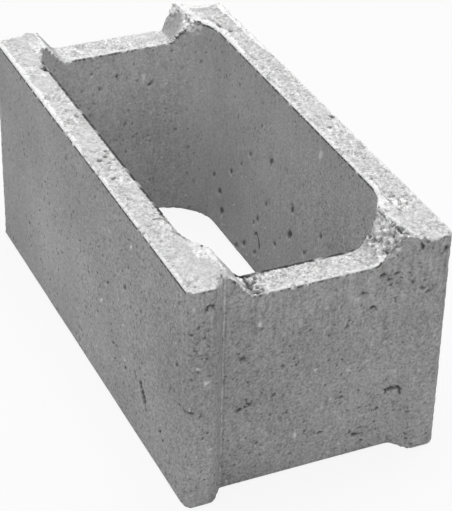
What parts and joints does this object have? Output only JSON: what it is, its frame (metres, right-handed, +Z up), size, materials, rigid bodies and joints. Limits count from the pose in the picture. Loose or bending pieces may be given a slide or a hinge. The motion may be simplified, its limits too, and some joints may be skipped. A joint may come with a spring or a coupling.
{
  "type": "concrete shuttering block",
  "caption": "Concrete formwork block: two long walls joined by notched end webs round an open cavity, recessed at one end and with a matching tongue at the other.",
  "frame": {"origin": "middle of the foot, on the plane the block stands on, halfway along its whole length with the tongue", "axes": "+X along the length towards the recessed end, +Y across the width, +Z up out of the open top with the notches"},
  "size_m": [0.514, 0.25, 0.23],
  "materials": {
    "cast_concrete": "rough, pitted, dry-pressed grey concrete"
  },
  "bodies": {
    "root": {"shuttering_block": "cast_concrete"}
  },
  "joints": []
}
